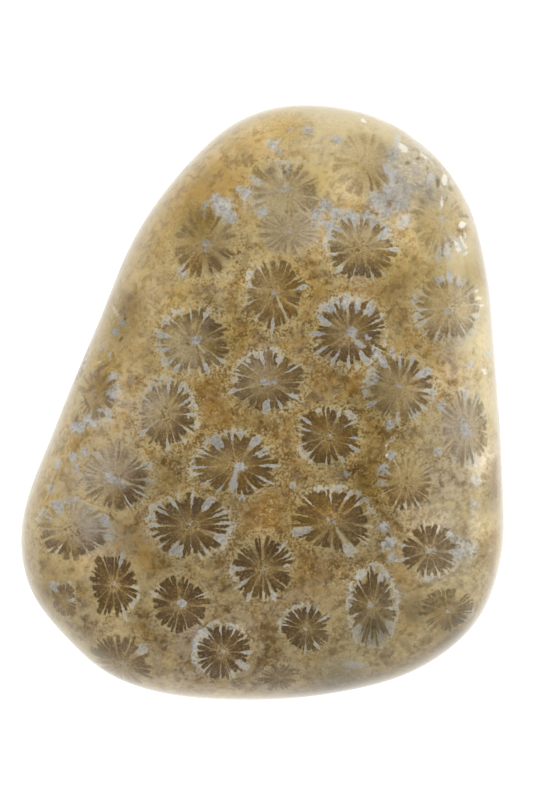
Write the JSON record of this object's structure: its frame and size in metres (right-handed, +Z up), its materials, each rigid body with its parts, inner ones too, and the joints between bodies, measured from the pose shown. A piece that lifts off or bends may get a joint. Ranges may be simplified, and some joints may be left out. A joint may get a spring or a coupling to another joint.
{
  "type": "polished fossil coral stone",
  "caption": "Polished palm stone cut from a fossil coral head: crowned oval face of star-shaped coral cups, rounded rim, flat ground underside.",
  "frame": {"origin": "on the flat underside, below the middle of the bounding box", "axes": "+Z up through the polished face, +Y along the long way towards the narrower end, +X across the face"},
  "size_m": [0.0386, 0.0476, 0.012],
  "materials": {
    "fossil_coral": "polished"
  },
  "bodies": {
    "root": {"coral_stone": "fossil_coral"}
  },
  "joints": []
}
